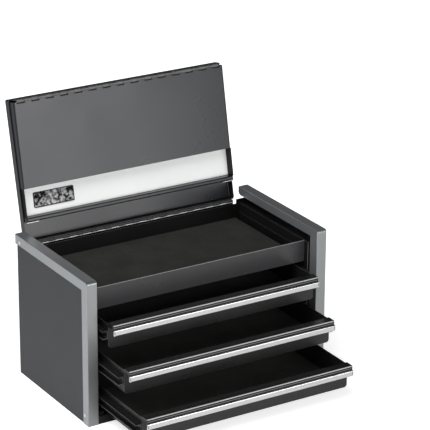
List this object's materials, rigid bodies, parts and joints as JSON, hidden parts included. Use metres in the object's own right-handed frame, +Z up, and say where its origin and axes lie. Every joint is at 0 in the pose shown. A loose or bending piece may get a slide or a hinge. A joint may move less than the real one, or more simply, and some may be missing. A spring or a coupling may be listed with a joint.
{
  "type": "machinist tool chest",
  "caption": "Machinist tool chest with a lidded till, a front cover that folds up into the lid, and pull-out drawers on ball slides.",
  "frame": {"origin": "middle of the base, under the middle of the case", "axes": "+X to the chest's right as it faces the user, +Y to its back, +Z up"},
  "size_m": [0.4322, 0.4288, 0.4384],
  "materials": {
    "black_powder_coat": "smooth satin",
    "silver_trim": "smooth satin silver",
    "zinc_screw": "bright zinc",
    "foam": "matt closed-cell foam",
    "black_plastic": "satin",
    "brushed_aluminium": "brushed along its length",
    "black_slide_steel": "satin",
    "bright_steel": "bright zinc",
    "pale_band": "matt pale grey",
    "dark_badge": "satin",
    "magnet": "matt black"
  },
  "bodies": {
    "case": {"back_panel": "black_powder_coat", "bottom_panel": "black_powder_coat", "cover_magnets": "magnet", "front_bottom_rail": "black_powder_coat", "left_cabinet_slide_1": "black_slide_steel", "left_cabinet_slide_2": "black_slide_steel", "left_cabinet_slide_3": "black_slide_steel", "left_edge_trim": "silver_trim", "left_inner_wall": "black_powder_coat", "left_side_panel": "black_powder_coat", "lid_hinge_case_leaf": "black_powder_coat", "lid_hinge_pin": "bright_steel", "right_cabinet_slide_1": "black_slide_steel", "right_cabinet_slide_2": "black_slide_steel", "right_cabinet_slide_3": "black_slide_steel", "right_edge_trim": "silver_trim", "right_inner_wall": "black_powder_coat", "right_side_panel": "black_powder_coat", "till_liner": "foam", "till_tray": "black_powder_coat", "trim_screws": "zinc_screw"},
    "front_cover": {"band_badge": "dark_badge", "cover_band": "pale_band", "cover_hinge_cover_leaf": "black_powder_coat", "cover_panel": "black_powder_coat", "cover_strike_plates": "bright_steel", "recess_ends": "black_plastic"},
    "lid": {"cover_hinge_lid_leaf": "black_powder_coat", "cover_hinge_pin": "bright_steel", "lid_hinge_lid_leaf": "black_powder_coat", "lid_panel": "black_powder_coat"},
    "drawer_1_ball_cages": {"drawer_1_ball_cages": "bright_steel"},
    "drawer_1": {"drawer_1_box": "black_powder_coat", "drawer_1_left_slide": "black_slide_steel", "drawer_1_liner": "foam", "drawer_1_pull_caps": "brushed_aluminium", "drawer_1_pull_rail": "black_plastic", "drawer_1_pull_strip": "brushed_aluminium", "drawer_1_right_slide": "black_slide_steel"},
    "drawer_2_ball_cages": {"drawer_2_ball_cages": "bright_steel"},
    "drawer_2": {"drawer_2_box": "black_powder_coat", "drawer_2_left_slide": "black_slide_steel", "drawer_2_liner": "foam", "drawer_2_pull_caps": "brushed_aluminium", "drawer_2_pull_rail": "black_plastic", "drawer_2_pull_strip": "brushed_aluminium", "drawer_2_right_slide": "black_slide_steel"},
    "drawer_3_ball_cages": {"drawer_3_ball_cages": "bright_steel"},
    "drawer_3": {"drawer_3_box": "black_powder_coat", "drawer_3_left_slide": "black_slide_steel", "drawer_3_liner": "foam", "drawer_3_pull_caps": "brushed_aluminium", "drawer_3_pull_rail": "black_plastic", "drawer_3_pull_strip": "brushed_aluminium", "drawer_3_right_slide": "black_slide_steel"}
  },
  "joints": [
    {"name": "lid_hinge", "type": "hinge", "parent": "case", "child": "lid", "pos_m": [0, 0.1162, 0.215], "axis": [-1, 0, 0], "range_deg": [-102.8, 0]},
    {"name": "cover_hinge", "type": "hinge", "parent": "lid", "child": "front_cover", "pos_m": [0, 0.16401, 0.43538], "axis": [1, 0, 0], "range_deg": [-91.4, 0]},
    {"name": "drawer_1_slide", "type": "slide", "parent": "case", "child": "drawer_1", "axis": [0, -1, 0], "range_m": [-0.047, 0.103]},
    {"name": "drawer_1_ball_travel", "type": "slide", "parent": "case", "child": "drawer_1_ball_cages", "axis": [0, -1, 0], "range_m": [-0.0235, 0.0515]},
    {"name": "drawer_2_slide", "type": "slide", "parent": "case", "child": "drawer_2", "axis": [0, -1, 0], "range_m": [-0.094, 0.056]},
    {"name": "drawer_2_ball_travel", "type": "slide", "parent": "case", "child": "drawer_2_ball_cages", "axis": [0, -1, 0], "range_m": [-0.047, 0.028]},
    {"name": "drawer_3_slide", "type": "slide", "parent": "case", "child": "drawer_3", "axis": [0, -1, 0], "range_m": [-0.1465, 0.0035]},
    {"name": "drawer_3_ball_travel", "type": "slide", "parent": "case", "child": "drawer_3_ball_cages", "axis": [0, -1, 0], "range_m": [-0.07325, 0.00175]}
  ],
  "couplings": [
    {"joint": "drawer_1_ball_travel", "follows": "drawer_1_slide", "ratio": 0.5},
    {"joint": "drawer_2_ball_travel", "follows": "drawer_2_slide", "ratio": 0.5},
    {"joint": "drawer_3_ball_travel", "follows": "drawer_3_slide", "ratio": 0.5}
  ]
}
